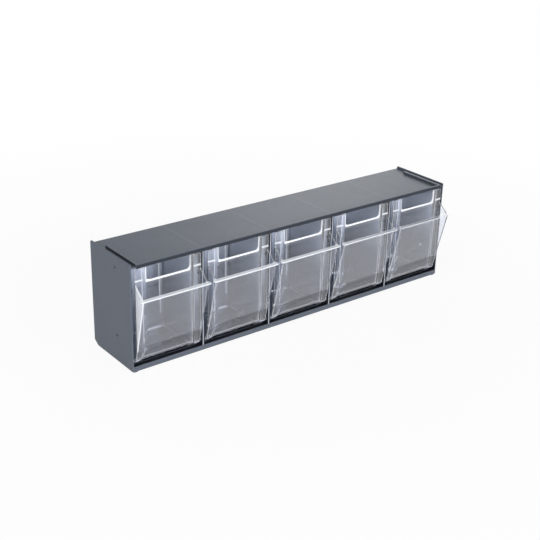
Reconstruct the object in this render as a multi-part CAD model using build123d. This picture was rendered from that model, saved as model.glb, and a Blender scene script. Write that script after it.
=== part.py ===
from build123d import *
import math
import os

# Tilt-out bin organizer: a low, wide moulded cabinet with five clear bins side by side.
# Each bin hangs on two short pivot pins near its bottom front edge and tips forward by hand.
#
# Millimetres. +Z is up, +X is to the right and -Y is the front, as a user stands before it.
# The origin is the middle of the whole object's footprint, on the surface that it stands on.
# The pieces are drawn in the cabinet's own frame, and one move at the end puts them there:
# X = 0 in the middle, Y = 0 at the end panels' front edges, Z = 0 at their bottom edges.

# Overall size of the cabinet
WIDTH = 600.0
DEPTH = 108.5
PANEL_HEIGHT = 163.5
SKID_DROP = 1.6  # the skids stand this far below the end panels
LIP_REACH = 24.85  # the bins' pull lips stand this far in front of the end panels
BIN_COUNT = 5

# Wall thicknesses of the cabinet
END_WALL = 2.6
TOP_WALL = 2.1
BOTTOM_WALL = 2.2
BACK_WALL = 2.0
DIVIDER_WALL = 3.0

# Top panel, with its raised front rim and the two ribs that guide a unit stacked above
TOP_FACE_Z = 159.7
RAISED_Z = PANEL_HEIGHT  # the rim and ribs are level with the end panels
RIM_FRONT_Y = -2.5
RIM_BACK_Y = 0.5
RIB_OUTER_X = 290.5
RIB_WIDTH = 4.5
RIB_BACK_Y = 81.0
RIM_END_ROUND = 0.6
GATE_X = -20.0  # a small stub on the rim's back face, where the plastic entered the mould
GATE_WIDTH = 2.0
GATE_REACH = 2.0

# Bottom panel, with its front sill, the skids below and the rests that the closed bins lie on
SILL_TOP_Z = 7.2
SILL_WALL = 2.2
SILL_EDGE_ROUND = 0.5
SKID_INNER_X = 291.2
SKID_WIDTH = 5.4
SKID_FRONT_Y = 1.0
SKID_BACK_Y = 80.0
REST_HALF_WIDTH = 30.0
REST_WALL = 2.4
REST_BACK_Y = 81.0
REST_GAP = 0.05

# End panels: fastening holes, and the bevel at the bottom back corner
FIX_HOLE_R = 2.2
FIX_HOLE_Y = 39.7
FIX_HOLES_Z = (42.0, 147.3)
BEVEL_Y = 10.5
BEVEL_Z = 6.8
BACK_FOOT_Z = 9.0  # the back panel stands on the bottom panel's turned-up edge here
PANEL_EDGE_ROUND = 0.8
PANEL_CORNER_R = 1.6

# Dividers
DIVIDER_PITCH = 120.0
DIVIDER_EDGE_ROUND = 0.6

# Pivot: a pin on each side of a bin turns in a hole in the divider or end panel
PIVOT_Y = 7.0
PIVOT_Z = 14.5
PIN_R = 2.5
PIN_CLEARANCE = 0.06
PIN_ENTRY = 1.3
BLIND_HOLE_DEPTH = 1.6

# Stops: a lug on the bin meets a nub on the divider or end panel when the bin is fully open
OPEN_ANGLE = 45.0
STOP_RADIUS = 107.5  # from the pivot
LUG_ANGLE = 46.9  # behind the vertical through the pivot, bin closed
STOP_R = 2.0
STOP_GAP = 0.1
LUG_END_X = 55.6
NUB_END_X = 54.1

# Bin: one clear moulding
BIN_WALL = 1.8
FLOOR_Z = 7.8  # underside of the floor
TUB_HALF_WIDTH_LOW = 46.0
TUB_HALF_WIDTH_HIGH = 46.8
TUB_FRONT_Y = -1.8
TUB_BACK_Y_LOW = 87.0
TUB_BACK_Y_HIGH = 89.4
TUB_FRONT_CORNER_R = 10.6
TUB_BACK_CORNER_R = 7.0
TUB_FOOT_R = 13.0  # from the sloping front round to the floor
TOP_SWEEP_R = 142.4  # the tub's top edge follows this arc about the pivot, to pass under the top
LINE_Z = 136.7  # top edge of the flat front, below the open notch
NOTCH_HALF_WIDTH = 35.3
NOTCH_CORNER_R = 6.0
FLANGE_HALF_WIDTH = 53.7
FLANGE_CORNER_R = 5.0
CORNERS_Z = 7.3  # the front's two round bottom corners start here, just below the floor
EAR_TOP_Z = 156.4  # the flat front goes up to here at each side of the notch
EAR_CORNER_R = 1.5
SHOULDER_INNER_X = 41.5  # a low rib stands on each ear, from here out to its side edge
SHOULDER_Z = 138.3
SHOULDER_HEIGHT = 1.6
SHOULDER_PROUD = 0.8
SHOULDER_ROUND = 0.3
SLOPE_LOW = (2.6, 11.0)  # (Y, Z) of two points on the outer face of the sloping front
SLOPE_HIGH = (-22.5, 117.0)
CHEEK_FRONT_Z = 116.2  # top of the sloping front and of the hopper's side walls, inside the lip
CHEEK_BACK_Z = 132.4  # top of the hopper's side walls, at the flat front
TOE_BACK_Y = 15.0
FRONT_EDGE_ROUND = 0.6
SIDE_EDGE_ROUND = 0.6
CHEEK_EDGE_ROUND = 0.5
LIP_HALF_WIDTH = 57.2
LIP_TOP_Z = 117.3
LIP_THICK = 2.0
LIP_BACK_Y = -17.8
LIP_CORNER_R = 3.0
LIP_EDGE_ROUND = 0.6

# Worked out from the dimensions above
HALF_INNER = WIDTH / 2 - END_WALL
CEILING_Z = TOP_FACE_Z - TOP_WALL
BACK_PANEL_Y = DEPTH - BACK_WALL
DIVIDERS_X = [DIVIDER_PITCH * (i - (BIN_COUNT - 2) / 2) for i in range(BIN_COUNT - 1)]
SLOPE = (SLOPE_HIGH[0] - SLOPE_LOW[0]) / (SLOPE_HIGH[1] - SLOPE_LOW[1])
WALL_ALONG_Y = BIN_WALL * math.hypot(1, SLOPE)
PLATE_BACK_Y = TUB_FRONT_Y + BIN_WALL
MEET_Z = SLOPE_LOW[1] + (TUB_FRONT_Y - SLOPE_LOW[0]) / SLOPE  # the slope passes the flat front here
FAR = 200.0  # past every piece, for cutting shapes
NEAR = 0.05  # edges are picked by their places to within this
PAST = 1.0  # a cutting or joining shape passes a face by this much
TO_PART_FRAME = Pos(0, (LIP_REACH - DEPTH) / 2, SKID_DROP)


def block(x0, x1, y0, y1, z0, z1):
    """A box between two corners."""
    middle = Pos((x0 + x1) / 2, (y0 + y1) / 2, (z0 + z1) / 2)
    return middle * Box(x1 - x0, y1 - y0, z1 - z0)


def face_of(points):
    """A flat face from its corner points."""
    return make_face(Polyline(*points, close=True))


def side_prism(face, x0, x1):
    """A face drawn as (Y, Z), given a length along X."""
    return Pos(x0, 0, 0) * extrude(Plane.YZ * face, x1 - x0)


def front_prism(face, y0, y1):
    """A face drawn as (X, Z), given a length along Y."""
    return Pos(0, y1, 0) * extrude(Plane.XZ * face, y1 - y0)


def cross_rod(radius, y, z, x0, x1):
    """A round rod along X."""
    return side_prism(Pos(y, z) * Circle(radius), x0, x1)


def compartments():
    """Middle and half width of each bin's compartment, from left to right."""
    edges = [-HALF_INNER]
    for x in DIVIDERS_X:
        edges += [x - DIVIDER_WALL / 2, x + DIVIDER_WALL / 2]
    edges.append(HALF_INNER)
    pairs = zip(edges[0::2], edges[1::2])
    return [((left + right) / 2, (right - left) / 2) for left, right in pairs]


def stop_place(angle):
    """(Y, Z) of a point on the stops' circle, at an angle behind the pivot's vertical."""
    turn = math.radians(angle)
    return PIVOT_Y + STOP_RADIUS * math.sin(turn), PIVOT_Z + STOP_RADIUS * math.cos(turn)


def nub_angle():
    """Angle of the fixed nub, where the lug meets it at the open angle."""
    reach = 2 * STOP_R + STOP_GAP
    return LUG_ANGLE - OPEN_ANGLE - math.degrees(2 * math.asin(reach / 2 / STOP_RADIUS))


def stop_nub(wall_x, inward):
    """The fixed nub on a wall's face: it stands out as far as the lug's path."""
    half_width = compartments()[0][1]
    y, z = stop_place(nub_angle())
    length = half_width - NUB_END_X
    return cross_rod(STOP_R, y, z, min(wall_x, wall_x + inward * length),
                     max(wall_x, wall_x + inward * length))


def bevel_inside():
    """(Y, Z) of the two corners of the bevel's inner face, one wall in from the outer one."""
    length = math.hypot(BEVEL_Y, BEVEL_Z)
    start_y = DEPTH - BEVEL_Y - BOTTOM_WALL * BEVEL_Z / length
    start_z = BOTTOM_WALL * BEVEL_Y / length
    rise = BEVEL_Z / BEVEL_Y
    return ((start_y + (BOTTOM_WALL - start_z) / rise, BOTTOM_WALL),
            (BACK_PANEL_Y, start_z + (BACK_PANEL_Y - start_y) * rise))


def end_panel(side):
    """End panel: a flat plate that stands proud of the top, side is -1 for left, 1 for right."""
    outline = face_of([(0, 0), (DEPTH - BEVEL_Y, 0), (DEPTH, BEVEL_Z),
                       (DEPTH, PANEL_HEIGHT), (0, PANEL_HEIGHT)])
    top_corners = outline.vertices().group_by(Axis.Y)[-1]
    outline = fillet(top_corners, PANEL_CORNER_R)
    panel = side_prism(outline, HALF_INNER, WIDTH / 2)
    outer_face = panel.faces().sort_by(Axis.X)[-1]
    panel = chamfer(outer_face.outer_wire().edges(), PANEL_EDGE_ROUND)
    for z in FIX_HOLES_Z:
        panel -= cross_rod(FIX_HOLE_R, FIX_HOLE_Y, z, HALF_INNER - PAST, WIDTH / 2 + PAST)
    panel -= cross_rod(PIN_R + PIN_CLEARANCE, PIVOT_Y, PIVOT_Z,
                       HALF_INNER - PAST, HALF_INNER + BLIND_HOLE_DEPTH)
    panel += stop_nub(HALF_INNER, -1)
    return panel if side > 0 else mirror(panel, Plane.YZ)


def divider(x):
    """Divider between two bins, stepped over the sill, with the hole that both bins' pins turn in."""
    half = DIVIDER_WALL / 2
    outline = face_of([(SILL_WALL, BOTTOM_WALL), *bevel_inside(),
                       (BACK_PANEL_Y, CEILING_Z), (0, CEILING_Z),
                       (0, SILL_TOP_Z), (SILL_WALL, SILL_TOP_Z)])
    wall = side_prism(outline, x - half, x + half)
    front = wall.faces().sort_by(Axis.Y)[0]
    wall = fillet(front.edges().filter_by(Axis.Z), DIVIDER_EDGE_ROUND)
    wall -= cross_rod(PIN_R + PIN_CLEARANCE, PIVOT_Y, PIVOT_Z, x - half - PAST, x + half + PAST)
    wall += stop_nub(x + half, 1)
    wall += stop_nub(x - half, -1)
    return wall


def top_panel():
    """Top panel, with the raised rim along its front and a guide rib near each end."""
    panel = block(-HALF_INNER, HALF_INNER, 0, DEPTH, CEILING_Z, TOP_FACE_Z)
    rim = block(-RIB_OUTER_X, RIB_OUTER_X, RIM_FRONT_Y, RIM_BACK_Y, CEILING_Z, RAISED_Z)
    rim = fillet(rim.edges().filter_by(Axis.X).group_by(Axis.Z)[-1], RIM_END_ROUND)
    panel += rim
    for side in (-1, 1):
        inner, outer = side * (RIB_OUTER_X - RIB_WIDTH), side * RIB_OUTER_X
        panel += block(min(inner, outer), max(inner, outer),
                       RIM_BACK_Y - PAST, RIB_BACK_Y, TOP_FACE_Z, RAISED_Z)
    panel += block(GATE_X - GATE_WIDTH / 2, GATE_X + GATE_WIDTH / 2,
                   RIM_BACK_Y - RIM_END_ROUND, RIM_BACK_Y + GATE_REACH, TOP_FACE_Z, RAISED_Z - RIM_END_ROUND)
    return panel


def bottom_panel():
    """Bottom panel: front sill, bevelled back edge, two skids, and a rest for each closed bin."""
    low, high = bevel_inside()
    outline = face_of([(0, 0), (DEPTH - BEVEL_Y, 0), (DEPTH, BEVEL_Z), (DEPTH, BACK_FOOT_Z),
                       (BACK_PANEL_Y, BACK_FOOT_Z), high, low,
                       (SILL_WALL, BOTTOM_WALL), (SILL_WALL, SILL_TOP_Z), (0, SILL_TOP_Z)])
    panel = side_prism(outline, -HALF_INNER, HALF_INNER)
    sill_edges = panel.edges().filter_by(Axis.X).filter_by(lambda edge: edge.center().Y < SILL_WALL + PAST)
    panel = fillet(sill_edges.group_by(Axis.Z)[-1], SILL_EDGE_ROUND)
    for side in (-1, 1):
        inner, outer = side * SKID_INNER_X, side * (SKID_INNER_X + SKID_WIDTH)
        panel += block(min(inner, outer), max(inner, outer),
                       SKID_FRONT_Y, SKID_BACK_Y, -SKID_DROP, 0)
    for middle, _ in compartments():
        panel += block(middle - REST_HALF_WIDTH, middle + REST_HALF_WIDTH,
                       REST_BACK_Y - REST_WALL, REST_BACK_Y, BOTTOM_WALL, FLOOR_Z - REST_GAP)
    return panel


def back_panel():
    """Back panel, between the end panels and between the top and bottom panels."""
    return block(-HALF_INNER, HALF_INNER, BACK_PANEL_Y, DEPTH, BACK_FOOT_Z, CEILING_Z)


def slope_y(z, inset=0.0):
    """Y of the sloping front at a height, inset by that many wall thicknesses."""
    return SLOPE_LOW[0] + (z - SLOPE_LOW[1]) * SLOPE + inset * WALL_ALONG_Y


def tub_section(inset, half_width, back_y):
    """Plan outline of the tub at one height, inset by a wall for its hollow."""
    front_y = TUB_FRONT_Y + inset
    outline = face_of([(-half_width + inset, front_y), (half_width - inset, front_y),
                       (half_width - inset, back_y - inset), (-half_width + inset, back_y - inset)])
    outline = fillet(outline.vertices().group_by(Axis.Y)[0], TUB_FRONT_CORNER_R - inset)
    return fillet(outline.vertices().group_by(Axis.Y)[-1], TUB_BACK_CORNER_R - inset)


def tub_form(inset):
    """Solid form of the tub (inset 0) or of its hollow (inset one wall), widening upwards."""
    floor = FLOOR_Z + inset
    low = tub_section(inset, TUB_HALF_WIDTH_LOW, TUB_BACK_Y_LOW)
    high = tub_section(inset, TUB_HALF_WIDTH_HIGH, TUB_BACK_Y_HIGH)
    form = loft([Pos(0, 0, floor) * low, Pos(0, 0, CEILING_Z) * high], ruled=True)
    side_view = face_of([(slope_y(floor, inset / BIN_WALL), floor), (FAR, floor), (FAR, FAR),
                         (slope_y(FAR, inset / BIN_WALL), FAR)])
    front_foot = side_view.vertices().sort_by_distance((slope_y(floor, inset / BIN_WALL), floor))[0]
    side_view = fillet(front_foot, TUB_FOOT_R - inset)
    form &= side_prism(side_view, -FAR, FAR)
    return form


def sloping_front():
    """The full-width sloping wall from the toe to the lip, with its small rounded toe."""
    outer = face_of([(slope_y(FLOOR_Z), FLOOR_Z), (TOE_BACK_Y, FLOOR_Z), (TOE_BACK_Y, CHEEK_FRONT_Z),
                     (slope_y(CHEEK_FRONT_Z), CHEEK_FRONT_Z)])
    outer = fillet(outer.vertices().sort_by_distance((slope_y(FLOOR_Z), FLOOR_Z))[0], TUB_FOOT_R)
    floor = FLOOR_Z + BIN_WALL
    inner = face_of([(slope_y(floor, 1), floor), (FAR, floor), (FAR, FAR), (slope_y(FAR, 1), FAR)])
    inner = fillet(inner.vertices().sort_by_distance((slope_y(floor, 1), floor))[0],
                   TUB_FOOT_R - BIN_WALL)
    return side_prism(outer - inner, -FLANGE_HALF_WIDTH, FLANGE_HALF_WIDTH)


def front_plate():
    """The flat front: a plate whose ears reach up past the open notch, almost to the top panel."""
    outline = face_of([(-FLANGE_HALF_WIDTH, CHEEK_BACK_Z), (FLANGE_HALF_WIDTH, CHEEK_BACK_Z),
                       (FLANGE_HALF_WIDTH, EAR_TOP_Z), (NOTCH_HALF_WIDTH, EAR_TOP_Z),
                       (NOTCH_HALF_WIDTH, LINE_Z), (-NOTCH_HALF_WIDTH, LINE_Z),
                       (-NOTCH_HALF_WIDTH, EAR_TOP_Z), (-FLANGE_HALF_WIDTH, EAR_TOP_Z)])
    outline = fillet(outline.vertices().group_by(Axis.Y)[1], NOTCH_CORNER_R)
    outline = fillet(outline.vertices().group_by(Axis.Y)[-1], EAR_CORNER_R)
    plate = front_prism(outline, TUB_FRONT_Y, PLATE_BACK_Y)
    plate = rounded(plate, FRONT_EDGE_ROUND,
                    lambda at: at.Z > CHEEK_BACK_Z + NEAR
                    and abs(at.Y - (TUB_FRONT_Y + PLATE_BACK_Y) / 2) > NEAR)
    return plate + block(-FLANGE_HALF_WIDTH, FLANGE_HALF_WIDTH,
                         TUB_FRONT_Y, PLATE_BACK_Y, MEET_Z, CHEEK_BACK_Z)


def shoulder(side):
    """The low rib on one ear, side is -1 for left, 1 for right."""
    inner, outer = side * SHOULDER_INNER_X, side * (FLANGE_HALF_WIDTH - FRONT_EDGE_ROUND)
    rib = block(min(inner, outer), max(inner, outer),
                TUB_FRONT_Y - SHOULDER_PROUD, PLATE_BACK_Y - FRONT_EDGE_ROUND,
                SHOULDER_Z - SHOULDER_HEIGHT / 2, SHOULDER_Z + SHOULDER_HEIGHT / 2)
    return fillet(rib.faces().sort_by(Axis.Y)[0].outer_wire().edges(), SHOULDER_ROUND)


def rounded(form, radius, wanted):
    """Round the edges whose middles pass a test."""
    return fillet(form.edges().filter_by(lambda edge: wanted(edge.center())), radius)


def front_piece():
    """All that stands before the tub: sloping front, flat front, two cheeks, pull lip."""
    form = sloping_front() + front_plate()
    cheek = face_of([(TUB_FRONT_Y, MEET_Z), (slope_y(CHEEK_FRONT_Z), CHEEK_FRONT_Z),
                     (TUB_FRONT_Y, CHEEK_BACK_Z)])
    for x0 in (-FLANGE_HALF_WIDTH, FLANGE_HALF_WIDTH - BIN_WALL):
        form += side_prism(cheek, x0, x0 + BIN_WALL)
    front_view = face_of([(-FLANGE_HALF_WIDTH, CORNERS_Z), (FLANGE_HALF_WIDTH, CORNERS_Z),
                          (FLANGE_HALF_WIDTH, FAR), (-FLANGE_HALF_WIDTH, FAR)])
    front_view = fillet(front_view.vertices().group_by(Axis.Y)[0], FLANGE_CORNER_R)
    form &= front_prism(front_view, -FAR, FAR)
    form += shoulder(-1)
    form += shoulder(1)
    form = rounded(form, SIDE_EDGE_ROUND,
                   lambda at: abs(at.X) > FLANGE_HALF_WIDTH - NEAR
                   and at.Y < TUB_FRONT_Y - SHOULDER_PROUD - NEAR and at.Z < CHEEK_FRONT_Z)
    form = rounded(form, CHEEK_EDGE_ROUND,
                   lambda at: CHEEK_FRONT_Z + NEAR < at.Z < CHEEK_BACK_Z - NEAR
                   and at.Y < TUB_FRONT_Y - NEAR and abs(at.X) > FLANGE_HALF_WIDTH - BIN_WALL - NEAR)
    return form + pull_lip()


def pull_lip():
    """The lip along the hopper's top edge, a little wider than the hopper."""
    plan = face_of([(-LIP_HALF_WIDTH, -LIP_REACH), (LIP_HALF_WIDTH, -LIP_REACH),
                    (LIP_HALF_WIDTH, LIP_BACK_Y), (-LIP_HALF_WIDTH, LIP_BACK_Y)])
    plan = fillet(plan.vertices(), LIP_CORNER_R)
    lip = Pos(0, 0, LIP_TOP_Z - LIP_THICK) * extrude(plan, LIP_THICK)
    edges = lip.faces().sort_by(Axis.Z)[-1].outer_wire().edges()
    edges += lip.faces().sort_by(Axis.Z)[0].outer_wire().edges()
    return fillet(edges, LIP_EDGE_ROUND)


def notch(margin):
    """What is cut from the tub's front behind the flat front's notch, a little wider than it."""
    half = NOTCH_HALF_WIDTH + margin
    low = LINE_Z - margin
    shape = face_of([(-half, low), (half, low), (half, FAR), (-half, FAR)])
    shape = fillet(shape.vertices().group_by(Axis.Y)[0], NOTCH_CORNER_R + margin)
    return front_prism(shape, TUB_FRONT_Y - PAST, TUB_FRONT_Y + TUB_FRONT_CORNER_R)


def clear_bin(middle, half_width):
    """One clear bin: tub, front, pull lip, pivot pins and stop lugs, all one moulding."""
    lug_y, lug_z = stop_place(LUG_ANGLE)
    tub = tub_form(0.0)
    for side in (-1, 1):
        pin_end = side * (half_width + PIN_ENTRY)
        tub += cross_rod(PIN_R, PIVOT_Y, PIVOT_Z, min(0, pin_end), max(0, pin_end))
        lug_end = side * LUG_END_X
        tub += cross_rod(STOP_R, lug_y, lug_z, min(0, lug_end), max(0, lug_end))
    tub -= tub_form(BIN_WALL)
    tub &= cross_rod(TOP_SWEEP_R, PIVOT_Y, PIVOT_Z, -FAR, FAR)
    tub -= notch(FRONT_EDGE_ROUND)
    tub &= block(-FAR, FAR, PLATE_BACK_Y - FRONT_EDGE_ROUND, FAR, 0, FAR)
    return Pos(middle, 0, 0) * (tub + front_piece())


def all_pieces():
    """Every sub-part by name."""
    pieces = {
        "left_end_panel": end_panel(-1),
        "right_end_panel": end_panel(1),
        "top_panel": top_panel(),
        "bottom_panel": bottom_panel(),
        "back_panel": back_panel(),
    }
    for number, x in enumerate(DIVIDERS_X, start=1):
        pieces[f"divider_{number}"] = divider(x)
    for number, (middle, half_width) in enumerate(compartments(), start=1):
        pieces[f"bin_{number}"] = clear_bin(middle, half_width)
    return pieces


os.makedirs("parts", exist_ok=True)
for name, piece in all_pieces().items():
    export_step(TO_PART_FRAME * piece, f"parts/{name}.step")
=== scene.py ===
"""Looks of the tilt-out bin organizer: its plastics, a pale studio and the camera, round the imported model."""

from __future__ import annotations

import logging
import math
from dataclasses import dataclass, field
from enum import Enum
from typing import Any

import bpy
from mathutils import Matrix, Vector


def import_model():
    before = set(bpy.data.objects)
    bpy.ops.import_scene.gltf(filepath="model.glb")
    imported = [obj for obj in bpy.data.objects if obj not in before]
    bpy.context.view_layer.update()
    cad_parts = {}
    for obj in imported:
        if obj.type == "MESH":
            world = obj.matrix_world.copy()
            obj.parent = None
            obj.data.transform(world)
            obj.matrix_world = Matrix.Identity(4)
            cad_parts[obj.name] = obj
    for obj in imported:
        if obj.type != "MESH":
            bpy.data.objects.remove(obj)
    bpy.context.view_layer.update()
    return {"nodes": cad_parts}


LOG = logging.getLogger("organizer")
MM = 0.001
WHITE = (1.0, 1.0, 1.0, 1.0)
PICTURE_SIDE_PX = 540
SENSOR_MM = 36.0
BIN_PITCH_MM = 120.0
ROW_MM = 600.0
BEVEL_SAMPLES = 4
SHADE_SAMPLES = 6
NOISE_SPREAD = (0.3, 0.7)  # nearly all of a noise pattern's values lie between these

Socket = bpy.types.NodeSocket
Tree = bpy.types.NodeTree
Point = tuple[Socket, Socket, Socket]
Range = tuple[float, float]


def linear(code: str) -> tuple[float, float, float, float]:
    """Turn an sRGB hex colour into a linear one, with the sRGB standard's own curve.

    Args:
        code: The colour as "#rrggbb".

    Returns:
        Linear red, green, blue and an alpha of one.
    """
    parts = [int(code[start:start + 2], 16) / 255 for start in (1, 3, 5)]
    low = [part / 12.92 for part in parts]
    high = [((part + 0.055) / 1.055) ** 2.4 for part in parts]
    red, green, blue = [a if part <= 0.04045 else b for part, a, b in zip(parts, low, high)]
    return red, green, blue, 1.0


def per_metre(size_mm: float) -> float:
    """Scale of a pattern whose features are this many millimetres wide."""
    return 1.0 / (size_mm * MM)


def add_node(tree: Tree, kind: str, inputs: dict[Any, Any] | None = None, **settings: Any) -> bpy.types.Node:
    """Add a node with its settings, values and links.

    Args:
        tree: The node tree that gets the node.
        kind: The node's type name.
        inputs: A value, or an output socket to link, for each input by name or number.
        **settings: Properties of the node itself.

    Returns:
        The new node.
    """
    node = tree.nodes.new(kind)
    for name, value in settings.items():
        setattr(node, name, value)
    for key, value in (inputs or {}).items():
        if isinstance(value, Socket):
            tree.links.new(value, node.inputs[key])
        else:
            node.inputs[key].default_value = value
    return node


def calc(tree: Tree, operation: str, *values: Socket | float, clamp: bool = False) -> Socket:
    """Do one step of arithmetic.

    Args:
        tree: The node tree that gets the step.
        operation: The name of the arithmetic.
        *values: Sockets or numbers to work on.
        clamp: Whether the result is kept between zero and one.

    Returns:
        The result's socket.
    """
    return add_node(tree, "ShaderNodeMath", dict(enumerate(values)), operation=operation,
                    use_clamp=clamp).outputs[0]


def ramp(tree: Tree, value: Socket, start: float, end: float, low: float = 0.0, high: float = 1.0,
         shape: str = "LINEAR") -> Socket:
    """Map a value from one range to another, held at both ends.

    Args:
        tree: The node tree that gets the ramp.
        value: The value to map.
        start: The value that gives low.
        end: The value that gives high.
        low: The result at the start.
        high: The result at the end.
        shape: The name of the ramp's curve.

    Returns:
        The result's socket.
    """
    return add_node(tree, "ShaderNodeMapRange",
                    {"Value": value, "From Min": start, "From Max": end, "To Min": low, "To Max": high},
                    interpolation_type=shape).outputs[0]


def blend(tree: Tree, share: Socket, first: Any, second: Any) -> Socket:
    """Mix two colours.

    Args:
        tree: The node tree that gets the mix.
        share: How much of the second colour there is.
        first: A colour or its socket.
        second: A colour or its socket.

    Returns:
        The mixed colour's socket.
    """
    return add_node(tree, "ShaderNodeMix", {0: share, 6: first, 7: second}, data_type="RGBA").outputs[2]


def noise(tree: Tree, place: Socket, size_mm: float, detail: float) -> Socket:
    """Make a noise pattern.

    Args:
        tree: The node tree that gets the pattern.
        place: The point on the part, in metres.
        size_mm: The width of the pattern's features.
        detail: How many finer layers it has.

    Returns:
        The pattern's socket.
    """
    return add_node(tree, "ShaderNodeTexNoise",
                    {"Vector": place, "Scale": per_metre(size_mm), "Detail": detail}).outputs[0]


def stretched(tree: Tree, place: Socket, factors: tuple[float, float, float]) -> Socket:
    """Scale a place by a factor for each axis, which draws a pattern out."""
    return add_node(tree, "ShaderNodeVectorMath", {0: place, 1: factors}, operation="MULTIPLY").outputs[0]


def edge_mask(tree: Tree, width_mm: float, side: str, match: Range) -> Socket:
    """Find edges, where a rounded normal leaves the flat one.

    Args:
        tree: The node tree that gets the mask.
        width_mm: How far from an edge the rounding reaches.
        side: The geometry output that holds the flat normal.
        match: How alike the two normals are where the mask starts, and where it is full.

    Returns:
        A socket that is one on an edge.
    """
    rounded = add_node(tree, "ShaderNodeBevel", {"Radius": width_mm * MM}, samples=BEVEL_SAMPLES).outputs[0]
    flat = add_node(tree, "ShaderNodeNewGeometry").outputs[side]
    alike = add_node(tree, "ShaderNodeVectorMath", {0: rounded, 1: flat}, operation="DOT_PRODUCT")
    return ramp(tree, alike.outputs["Value"], *match)


def point_of(tree: Tree, place: Socket) -> Point:
    """Split a place into its X, Y and Z sockets."""
    split = add_node(tree, "ShaderNodeSeparateXYZ", {0: place})
    return split.outputs["X"], split.outputs["Y"], split.outputs["Z"]


def point_in_bin(tree: Tree, point: Point) -> Point:
    """Measure a point's X from the middle of its own bin.

    Args:
        tree: The node tree that gets the steps.
        point: The point on the part, in metres.

    Returns:
        The new X, and the same Y and Z.
    """
    across, ahead, up = point
    pitch = BIN_PITCH_MM * MM
    row = calc(tree, "ADD", across, ROW_MM / 2 * MM)
    cell = calc(tree, "FLOORED_MODULO", row, pitch)
    return calc(tree, "SUBTRACT", cell, pitch / 2), ahead, up


@dataclass(frozen=True)
class Zone:
    """A box on the part in which a finish differs, in millimetres, with soft sides."""

    x: Range
    y: Range
    z: Range
    share: float = 1.0
    soft: tuple[float, float, float] = (0.2, 0.2, 0.2)

    def mask(self, tree: Tree, point: Point) -> Socket:
        """Build the nodes that find the zone.

        Args:
            tree: The material's node tree.
            point: The point's X, Y and Z on the part, in metres.

        Returns:
            A socket that holds the share inside the zone and zero outside.
        """
        total: Socket | float = self.share
        for along, (low, high), soft in zip(point, (self.x, self.y, self.z), self.soft):
            away = calc(tree, "ABSOLUTE", calc(tree, "SUBTRACT", along, (low + high) / 2 * MM))
            half = (high - low) / 2
            inside = ramp(tree, away, half * MM, (half + soft) * MM, 1.0, 0.0)
            total = calc(tree, "MULTIPLY", inside, total)
        return total


class HousingFace(Enum):
    """How a housing moulding was finished, by what shows on its face."""

    PLAIN = "plain"
    OVER_DIVIDERS = "over_dividers"


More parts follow.
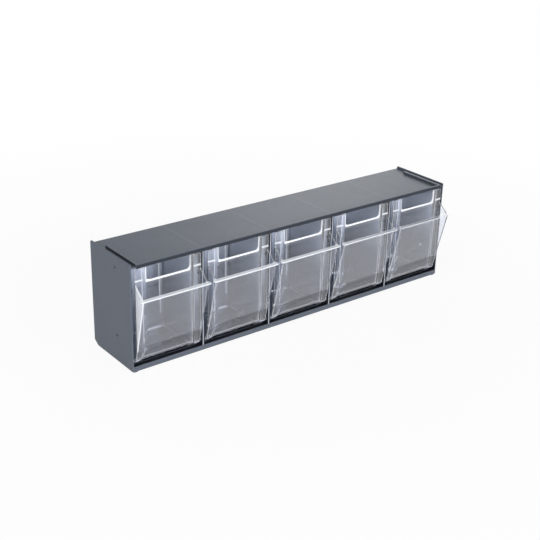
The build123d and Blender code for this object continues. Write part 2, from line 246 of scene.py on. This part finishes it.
@dataclass(frozen=True)
class MouldedPolystyrene:
    """High-impact polystyrene, injection moulded in a fine spark-eroded tool: the dark blue-grey housing.

    The eroded tool leaves a matte grain, so highlights are broad and soft. The pigment is a little
    uneven. Edges are drawn lighter as a painted highlight, and thin sink lines show where ribs stand
    behind a face, as shallow dents drawn lighter with a painted sheen.

    The tones from painted_light_inside to painted_rim_shade are not the plastic's own, which is even. They are
    fitted to the photograph and stand in for light and shade that this studio doesn't give.
    """

    face: HousingFace = HousingFace.PLAIN
    pigment: str = "#575e69"
    pigment_light: str = "#5f6671"
    mottle_mm: float = 55.0
    mottle_detail: float = 3.0
    ior: float = 1.59
    mirror_level: float = 0.18  # well under the real plastic's 0.5, because the white studio veils it
    roughness: Range = (0.40, 0.54)
    grain_mm: float = 1.5  # the real grain is near 0.1 mm, drawn coarser so that it shows
    grain_detail: float = 2.0
    grain_depth_mm: float = 0.035
    grain_strength: float = 0.8
    scuff: str = "#7e858f"
    scuff_share: float = 0.25
    scuff_noise: Range = (0.66, 0.80)
    scuff_detail: float = 1.0
    scuff_length_mm: float = 70.0
    scuff_width_mm: float = 1.4
    # painted highlight: the colour that lightens the edges and the sink lines
    edge_and_sink_highlight: str = "#8b929c"
    edge_highlight_share: float = 0.45
    edge_mm: float = 0.9
    edge_match: Range = (0.995, 0.85)
    sink_first_mm: float = 60.0
    sink_reach_mm: float = 200.0
    sink_width_mm: float = 2.6
    sink_depth_mm: float = 0.06
    sink_sheen_share: float = 0.35
    # painted light and shade inside the housing: lighter high up, darker low down
    painted_light_inside: str = "#c6cad1"
    painted_shade_inside: str = "#565b64"
    inside_shade_levels_mm: Range = (60.0, 118.0)
    inside: Zone = Zone((-297.7, 297.7), (-41.0, 64.8), (3.5, 159.2))
    # painted shade in the narrow spaces just behind the front edges, and in the low gap under the bins
    gap_shade: str = "#0d1015"
    gap: Zone = Zone((-297.7, 297.7), (-60.0, -33.0), (9.2, 159.2), 0.95, (0.2, 8.0, 0.2))
    low_gap: Zone = Zone((-297.7, 297.7), (-39.5, -26.0), (3.5, 9.2), 0.95, (0.2, 1.0, 0.2))
    groove_mm: float = 9.0
    groove_open: Range = (0.75, 0.35)
    # painted highlight on the dividers' front edges
    painted_divider_highlight: str = "#abb0b9"
    divider_highlight_zone: Zone = Zone((58.6, 60.0), (-42.6, -41.2), (9.2, 158.6))
    # painted shade on the top panel's front rim
    painted_rim_shade: str = "#2c313a"
    rim: Zone = Zone((-297.0, 297.0), (-46.0, -43.9), (158.0, 164.4))

    def sink_lines(self, tree: Tree, place: Socket) -> Socket:
        """Mask of the lines over the dividers.

        Args:
            tree: The material's node tree.
            place: The point on the part, in metres.

        Returns:
            A socket that is one on a line and falls to zero beside it.
        """
        across = point_of(tree, place)[0]
        shifted = calc(tree, "ADD", across, self.sink_first_mm * MM)
        away = calc(tree, "PINGPONG", shifted, BIN_PITCH_MM * MM / 2)
        line = ramp(tree, away, 0.0, self.sink_width_mm * MM / 2, 1.0, 0.0, "SMOOTHSTEP")
        reach = calc(tree, "ABSOLUTE", across)
        inside = calc(tree, "LESS_THAN", reach, self.sink_reach_mm * MM)
        return calc(tree, "MULTIPLY", line, inside)

    def groove_mask(self, tree: Tree) -> Socket:
        """Mask of the narrow grooves beside the guide ribs and the rim, which lie in shade."""
        open_share = add_node(tree, "ShaderNodeAmbientOcclusion", {"Distance": self.groove_mm * MM},
                              samples=SHADE_SAMPLES).outputs["AO"]
        return ramp(tree, open_share, *self.groove_open)

    def plastic(self, tree: Tree, place: Socket) -> Socket:
        """Build the colour of the plastic itself: uneven pigment with long fine scuffs.

        Args:
            tree: The material's node tree.
            place: The point on the part, in metres.

        Returns:
            The colour's socket.
        """
        mottle = noise(tree, place, self.mottle_mm, self.mottle_detail)
        colour = blend(tree, mottle, linear(self.pigment), linear(self.pigment_light))
        along = stretched(tree, place, (self.scuff_width_mm / self.scuff_length_mm, 1.0, 1.0))
        rub = noise(tree, along, self.scuff_width_mm, self.scuff_detail)
        rubbed = ramp(tree, rub, *self.scuff_noise, 0.0, self.scuff_share)
        return blend(tree, rubbed, colour, linear(self.scuff))

    def painted_light_and_shade(self, tree: Tree, place: Socket, colour: Socket) -> Socket:
        """Lay the tones over the plastic that stand in for the photograph's light and shade.

        Args:
            tree: The material's node tree.
            place: The point on the part, in metres.
            colour: The plastic's own colour.

        Returns:
            The new colour's socket.
        """
        point = point_of(tree, place)
        in_bin = point_in_bin(tree, point)
        low, high = self.inside_shade_levels_mm
        # painted light and shade inside the housing
        inside_light_and_shade = blend(tree, ramp(tree, point[2], low * MM, high * MM), linear(self.painted_shade_inside),
                      linear(self.painted_light_inside))
        colour = blend(tree, self.inside.mask(tree, point), colour, inside_light_and_shade)
        # painted shade in the front gaps and the low gap
        colour = blend(tree, self.gap.mask(tree, point), colour, linear(self.gap_shade))
        colour = blend(tree, self.low_gap.mask(tree, point), colour, linear(self.gap_shade))
        # painted highlight on the dividers' front edges
        colour = blend(tree, self.divider_highlight_zone.mask(tree, in_bin), colour, linear(self.painted_divider_highlight))
        # painted shade on the top panel's front rim
        return blend(tree, self.rim.mask(tree, point), colour, linear(self.painted_rim_shade))

    def material(self) -> bpy.types.Material:
        """Build the material."""
        made = bpy.data.materials.new(f"moulded_polystyrene_{self.face.value}")
        made.use_nodes = True
        tree = made.node_tree
        shader = tree.nodes["Principled BSDF"]
        shader.inputs["IOR"].default_value = self.ior
        shader.inputs["Specular IOR Level"].default_value = self.mirror_level
        place = add_node(tree, "ShaderNodeTexCoord").outputs["Object"]
        grain = noise(tree, place, self.grain_mm, self.grain_detail)
        colour = self.plastic(tree, place)
        height = grain
        if self.face is HousingFace.OVER_DIVIDERS:
            # sink lines: real shallow dents, drawn lighter as a painted sheen
            line = self.sink_lines(tree, place)
            sheen_line = calc(tree, "MULTIPLY", line, self.sink_sheen_share)
            colour = blend(tree, sheen_line, colour, linear(self.edge_and_sink_highlight))
            depth = self.sink_depth_mm / self.grain_depth_mm
            height = calc(tree, "MULTIPLY_ADD", line, -depth, height)
            # painted shade in the grooves beside the guide ribs and the rim
            colour = blend(tree, self.groove_mask(tree), colour, linear(self.gap_shade))
        colour = self.painted_light_and_shade(tree, place, colour)
        # painted highlight: the edges are drawn lighter
        edge = edge_mask(tree, self.edge_mm, "True Normal", self.edge_match)
        lit_edge = calc(tree, "MULTIPLY", edge, self.edge_highlight_share)
        colour = blend(tree, lit_edge, colour, linear(self.edge_and_sink_highlight))
        soft_edge = add_node(tree, "ShaderNodeBevel", {"Radius": self.edge_mm * MM / 2},
                             samples=BEVEL_SAMPLES)
        bump = add_node(tree, "ShaderNodeBump",
                        {"Height": height, "Distance": self.grain_depth_mm * MM,
                         "Strength": self.grain_strength, "Normal": soft_edge.outputs[0]})
        tree.links.new(colour, shader.inputs["Base Color"])
        tree.links.new(ramp(tree, grain, *NOISE_SPREAD, *self.roughness), shader.inputs["Roughness"])
        tree.links.new(bump.outputs[0], shader.inputs["Normal"])
        return made


FRONT_SKIN = (-44.5, -41.0)  # Y over the bins' flat front
FRONT_CORNERS = (-44.5, -33.0)  # Y over the tubs' front corners
SHOULDER_SKIN = (-44.8, -43.2)  # Y over the shoulders' fronts
BACK_WALL = (41.0, 49.0)  # Y over the tubs' back wall


@dataclass(frozen=True)
class ClearPolystyrene:
    """Crystal polystyrene, injection moulded in a polished tool: the clear bins.

    It is as clear as glass, with a faint cool tint, a few small specks, and slow ripples where the melt
    flowed. Its edges are drawn milky white, less clear than the wall, as a painted highlight.

    The hazes, the lips' fade and the left cheek are not the plastic's own, which is even. They are
    fitted to the photograph and stand in for light that this studio doesn't give.
    """

    tint: str = "#f7f9fe"
    edge_highlight_tint: str = "#f4f7fd"
    shadow_tint: str = "#fcfdff"
    ior: float = 1.59
    mirror_level: float = 0.05  # well under the real plastic's 0.5, because the white studio veils it
    roughness: Range = (0.02, 0.07)
    clearness: float = 0.997
    edge_highlight_clearness: float = 0.12
    edge_mm: float = 0.7
    edge_match: Range = (0.998, 0.96)
    plain_edge: Zone = Zone((-51.0, 51.0), (-48.0, -36.0), (27.0, 43.0))
    flow_width_mm: float = 9.0
    flow_length_mm: float = 60.0
    flow_depth_mm: float = 0.05
    flow_detail: float = 1.0
    flow_strength: float = 0.5
    speck_mm: float = 9.0
    speck_share: float = 0.06
    # painted highlight on each bin's lip, fading towards the right, and on the first bin's left cheek
    lip: Zone = Zone((-58.0, 58.0), (-70.0, -58.0), (116.6, 119.4), 0.75)
    lip_fade_mm: Range = (0.0, 240.0)
    lip_least: float = 0.15
    left_cheek: Zone = Zone((-54.2, -51.4), (-66.0, -43.9), (9.0, 134.0), 0.55)
    left_bin_mm: float = -180.0
    # painted highlights on the bins' walls, each zone with its share
    highlight_zones: tuple[Zone, ...] = (
        Zone((-35.5, 35.5), FRONT_SKIN, (135.7, 139.0)),  # the flat front's top edge
        Zone((-41.5, -37.0), FRONT_CORNERS, (138.8, 158.2), 0.03, (1.8, 0.2, 0.2)),  # left front corner
        Zone((36.5, 41.0), FRONT_CORNERS, (9.0, 158.2), 0.05, (2.2, 0.2, 0.2)),  # right front corner
        Zone((35.0, 36.6), FRONT_SKIN, (138.0, 158.2), 0.9),  # right side of the notch
        Zone((-36.6, -35.0), FRONT_SKIN, (138.0, 158.2), 0.45),  # left side of the notch
        Zone((-53.8, -41.5), SHOULDER_SKIN, (139.5, 141.8), 0.6),  # left shoulder
        Zone((41.5, 53.8), SHOULDER_SKIN, (139.5, 141.8), 0.6),  # right shoulder
        Zone((38.8, 39.8), BACK_WALL, (34.0, 150.0), 0.6, (0.3, 0.2, 0.2)),  # right back corner
        Zone((12.0, 39.0), (42.0, 49.0), (9.4, 12.6), 0.5),  # foot of the back wall
        Zone((-44.0, 41.0), (-44.5, -38.5), (20.6, 21.8), 0.22),  # foot of the front
    )

    def painted_highlight_share(self, tree: Tree, point: Point) -> Socket:
        """Share of painted highlight laid on the wall in the listed zones.

        Args:
            tree: The material's node tree.
            point: The point on the part, in metres.

        Returns:
            A socket with the share.
        """
        across = point[0]
        in_bin = point_in_bin(tree, point)
        fade = ramp(tree, across, *[mark * MM for mark in self.lip_fade_mm], 1.0, self.lip_least)
        total = calc(tree, "MULTIPLY", self.lip.mask(tree, in_bin), fade)
        in_first = calc(tree, "LESS_THAN", across, self.left_bin_mm * MM)
        cheek = calc(tree, "MULTIPLY", self.left_cheek.mask(tree, in_bin), in_first)
        for mask in (cheek, *[haze.mask(tree, in_bin) for haze in self.highlight_zones]):
            total = calc(tree, "MAXIMUM", mask, total)
        return total

    def edges(self, tree: Tree, point: Point) -> Socket:
        """Mask of the edges that get a painted highlight, without the ones where the sloping front meets the
        flat one.

        Args:
            tree: The material's node tree.
            point: The point on the part, in metres.

        Returns:
            A socket that is one on an edge with a painted highlight.
        """
        edge = edge_mask(tree, self.edge_mm, "Normal", self.edge_match)
        plain = self.plain_edge.mask(tree, point_in_bin(tree, point))
        return calc(tree, "MULTIPLY", edge, calc(tree, "SUBTRACT", 1.0, plain))

    def material(self) -> bpy.types.Material:
        """Build the material."""
        made = bpy.data.materials.new("clear_polystyrene")
        made.use_nodes = True
        tree = made.node_tree
        shader = tree.nodes["Principled BSDF"]
        shader.inputs["IOR"].default_value = self.ior
        shader.inputs["Specular IOR Level"].default_value = self.mirror_level
        place = add_node(tree, "ShaderNodeTexCoord").outputs["Object"]
        point = point_of(tree, place)
        # edges get a painted highlight: milky white and less clear
        edge = self.edges(tree, point)
        colour = blend(tree, edge, linear(self.tint), linear(self.edge_highlight_tint))
        specks = add_node(tree, "ShaderNodeTexVoronoi",
                          {"Vector": place, "Scale": per_metre(self.speck_mm)}, feature="F1")
        speck = calc(tree, "LESS_THAN", specks.outputs["Distance"], self.speck_share)
        specks_and_highlight = calc(tree, "MAXIMUM", edge, speck)
        clear = ramp(tree, specks_and_highlight, 0.0, 1.0, self.clearness, self.edge_highlight_clearness)
        clear = calc(tree, "SUBTRACT", clear, self.painted_highlight_share(tree, point), clamp=True)
        along = stretched(tree, place, (1.0, 1.0, self.flow_width_mm / self.flow_length_mm))
        flow = noise(tree, along, self.flow_width_mm, self.flow_detail)
        bump = add_node(tree, "ShaderNodeBump",
                        {"Height": flow, "Distance": self.flow_depth_mm * MM, "Strength": self.flow_strength})
        tree.links.new(colour, shader.inputs["Base Color"])
        tree.links.new(clear, shader.inputs["Transmission Weight"])
        tree.links.new(ramp(tree, flow, *NOISE_SPREAD, *self.roughness), shader.inputs["Roughness"])
        tree.links.new(bump.outputs[0], shader.inputs["Normal"])
        for_shadows = add_node(tree, "ShaderNodeLightPath").outputs["Is Shadow Ray"]
        passing = add_node(tree, "ShaderNodeBsdfTransparent", {"Color": linear(self.shadow_tint)}).outputs[0]
        mixed = add_node(tree, "ShaderNodeMixShader", {0: for_shadows, 1: shader.outputs[0], 2: passing})
        tree.links.new(mixed.outputs[0], tree.nodes["Material Output"].inputs["Surface"])
        return made


@dataclass(frozen=True)
class StudioPaper:
    """Matte paper roll: the pale floor, which keeps the object's shadow and shows white to the camera.

    Its glow is weaker near the object, where the shadow falls, and full farther out. Lengths are in
    metres, apart from those named in millimetres.
    """

    colour: str = "#e9eaec"
    roughness: float = 0.9
    glow: Range = (0.92, 1.0)
    glow_reach: Range = (0.38, 1.1)
    fibre_mm: float = 4.0
    fibre_detail: float = 2.0
    fibre_depth_mm: float = 0.01

    def material(self) -> bpy.types.Material:
        """Build the material."""
        made = bpy.data.materials.new("studio_paper")
        made.use_nodes = True
        tree = made.node_tree
        shader = tree.nodes["Principled BSDF"]
        shader.inputs["Base Color"].default_value = linear(self.colour)
        shader.inputs["Roughness"].default_value = self.roughness
        place = add_node(tree, "ShaderNodeTexCoord").outputs["Object"]
        fibre = noise(tree, place, self.fibre_mm, self.fibre_detail)
        bump = add_node(tree, "ShaderNodeBump", {"Height": fibre, "Distance": self.fibre_depth_mm * MM})
        tree.links.new(bump.outputs[0], shader.inputs["Normal"])
        white = add_node(tree, "ShaderNodeEmission", {"Color": WHITE, "Strength": 1.0}).outputs[0]
        away = add_node(tree, "ShaderNodeVectorMath", {0: place}, operation="LENGTH").outputs["Value"]
        glow = ramp(tree, away, *self.glow_reach, *self.glow)
        share = calc(tree, "MULTIPLY", seen_as_backdrop(tree), glow)
        mixed = add_node(tree, "ShaderNodeMixShader", {0: share, 1: shader.outputs[0], 2: white})
        tree.links.new(mixed.outputs[0], tree.nodes["Material Output"].inputs["Surface"])
        return made


def seen_as_backdrop(tree: Tree) -> Socket:
    """One for rays from the camera, mirrors and glass, zero for the rays that light the object.

    Args:
        tree: The node tree that needs the value.

    Returns:
        The socket that holds it.
    """
    path = add_node(tree, "ShaderNodeLightPath").outputs
    first = calc(tree, "MAXIMUM", path["Is Camera Ray"], path["Is Glossy Ray"])
    return calc(tree, "MAXIMUM", first, path["Is Transmission Ray"])


def dress(node: bpy.types.Object, material: bpy.types.Material) -> None:
    """Give a carried-over node its material.

    Args:
        node: The node's object.
        material: The material for all its slots.
    """
    for slot in node.material_slots:
        slot.material = material
    LOG.info("%s: %s, %d faces", node.name, material.name, len(node.data.polygons))


@dataclass
class Housing:
    """The fixed cabinet: end panels, top, bottom and back panels, and the dividers."""

    nodes: dict[str, bpy.types.Object]
    top: str = "top_panel"
    plain: tuple[str, ...] = ("left_end_panel", "right_end_panel", "bottom_panel", "back_panel")
    divider_prefix: str = "divider_"
    finish: MouldedPolystyrene = MouldedPolystyrene()
    top_finish: MouldedPolystyrene = MouldedPolystyrene(face=HousingFace.OVER_DIVIDERS)

    def names(self) -> list[str]:
        """Names of the housing's nodes, without the top panel."""
        dividers = [name for name in self.nodes if name.startswith(self.divider_prefix)]
        return [*self.plain, *sorted(dividers)]

    def dress(self) -> None:
        """Give every housing node its finish."""
        plain = self.finish.material()
        for name in self.names():
            dress(self.nodes[name], plain)
        dress(self.nodes[self.top], self.top_finish.material())


@dataclass
class BinRow:
    """The row of clear tilt-out bins."""

    nodes: dict[str, bpy.types.Object]
    prefix: str = "bin_"
    finish: ClearPolystyrene = ClearPolystyrene()

    def dress(self) -> None:
        """Give every bin its finish."""
        clear = self.finish.material()
        for name in sorted(self.nodes):
            if name.startswith(self.prefix):
                dress(self.nodes[name], clear)


@dataclass(frozen=True)
class Lamp:
    """One soft round lamp of the studio, in metres and watts."""

    name: str
    place: tuple[float, float, float]
    aim: tuple[float, float, float]
    width: float
    power: float

    def build(self) -> None:
        """Hang the lamp and turn it to what it lights."""
        light = bpy.data.lights.new(self.name, "AREA")
        light.shape = "DISK"
        light.size = self.width
        light.energy = self.power
        hung = bpy.data.objects.new(self.name, light)
        hung.location = self.place
        hung.rotation_euler = (Vector(self.aim) - Vector(self.place)).to_track_quat("-Z", "Y").to_euler()
        hung.visible_camera = False
        bpy.context.scene.collection.objects.link(hung)
        LOG.info("%s: lamp of %.0f W", self.name, self.power)


@dataclass
class Studio:
    """Pale floor, white surround and soft lamps, in metres."""

    floor_side: float = 12.0
    surround: float = 0.5
    paper: StudioPaper = StudioPaper()
    lamps: tuple[Lamp, ...] = field(default_factory=lambda: (
        Lamp("left_lamp", (-1.7, -0.7, 0.9), (0.0, 0.0, 0.08), 1.0, 10.0),
        Lamp("low_front_lamp", (0.1, -2.0, 0.38), (0.0, 0.0, 0.08), 1.3, 26.0),
        Lamp("back_right_lamp", (1.25, 1.35, 0.75), (0.15, 0.0, 0.16), 0.9, 5.0),
    ))

    def build_floor(self) -> None:
        """Lay the floor under the object."""
        half = self.floor_side / 2
        mesh = bpy.data.meshes.new("floor")
        mesh.from_pydata([(-half, -half, 0.0), (half, -half, 0.0), (half, half, 0.0), (-half, half, 0.0)],
                         [], [(0, 1, 2, 3)])
        mesh.materials.append(self.paper.material())
        floor = bpy.data.objects.new("floor", mesh)
        bpy.context.scene.collection.objects.link(floor)
        LOG.info("floor: %.0f m square", self.floor_side)

    def build_surround(self) -> None:
        """Make the world: soft light for the object, plain white for the camera, mirrors and glass."""
        world = bpy.data.worlds.new("surround")
        world.use_nodes = True
        tree = world.node_tree
        level = ramp(tree, seen_as_backdrop(tree), 0.0, 1.0, self.surround, 1.0)
        background = tree.nodes["Background"]
        background.inputs["Color"].default_value = WHITE
        tree.links.new(level, background.inputs["Strength"])
        bpy.context.scene.world = world
        LOG.info("surround: strength %.2f", self.surround)

    def build(self) -> None:
        """Build the floor, the surround and the lamps."""
        self.build_floor()
        self.build_surround()
        for lamp in self.lamps:
            lamp.build()


@dataclass(frozen=True)
class PhotoCamera:
    """The camera that took the picture: its place in metres and its angles in degrees."""

    place: tuple[float, float, float] = (-0.95042, -1.17677, 0.74096)
    heading: float = 38.092
    fall: float = 24.001
    roll: float = 1.506
    lens_mm: float = 70.64

    def build(self) -> None:
        """Set the camera up and make it the scene's own."""
        heading, fall, roll = (math.radians(angle) for angle in (self.heading, self.fall, self.roll))
        forward = Vector((math.sin(heading) * math.cos(fall), math.cos(heading) * math.cos(fall),
                          -math.sin(fall)))
        level = Vector((math.cos(heading), -math.sin(heading), 0.0))
        upright = level.cross(forward)
        right = math.cos(roll) * level + math.sin(roll) * upright
        up = math.cos(roll) * upright - math.sin(roll) * level
        lens = bpy.data.cameras.new("photo_camera")
        lens.lens = self.lens_mm
        lens.sensor_width = SENSOR_MM
        camera = bpy.data.objects.new("photo_camera", lens)
        turn = Matrix((right, up, -forward)).transposed().to_4x4()
        camera.matrix_world = Matrix.Translation(self.place) @ turn
        bpy.context.scene.collection.objects.link(camera)
        bpy.context.scene.camera = camera
        pixel_mm = SENSOR_MM / self.lens_mm / PICTURE_SIDE_PX / MM * Vector(self.place).length
        LOG.info("photo_camera: %.1f mm lens, about %.1f mm to a pixel", self.lens_mm, pixel_mm)


def main() -> None:
    """Load the model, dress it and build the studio."""
    logging.basicConfig(level=logging.INFO, format="%(message)s")
    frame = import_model()
    Housing(frame["nodes"]).dress()
    BinRow(frame["nodes"]).dress()
    Studio().build()
    PhotoCamera().build()
    bpy.context.scene.view_settings.view_transform = "Standard"


if __name__ == "__main__":
    main()
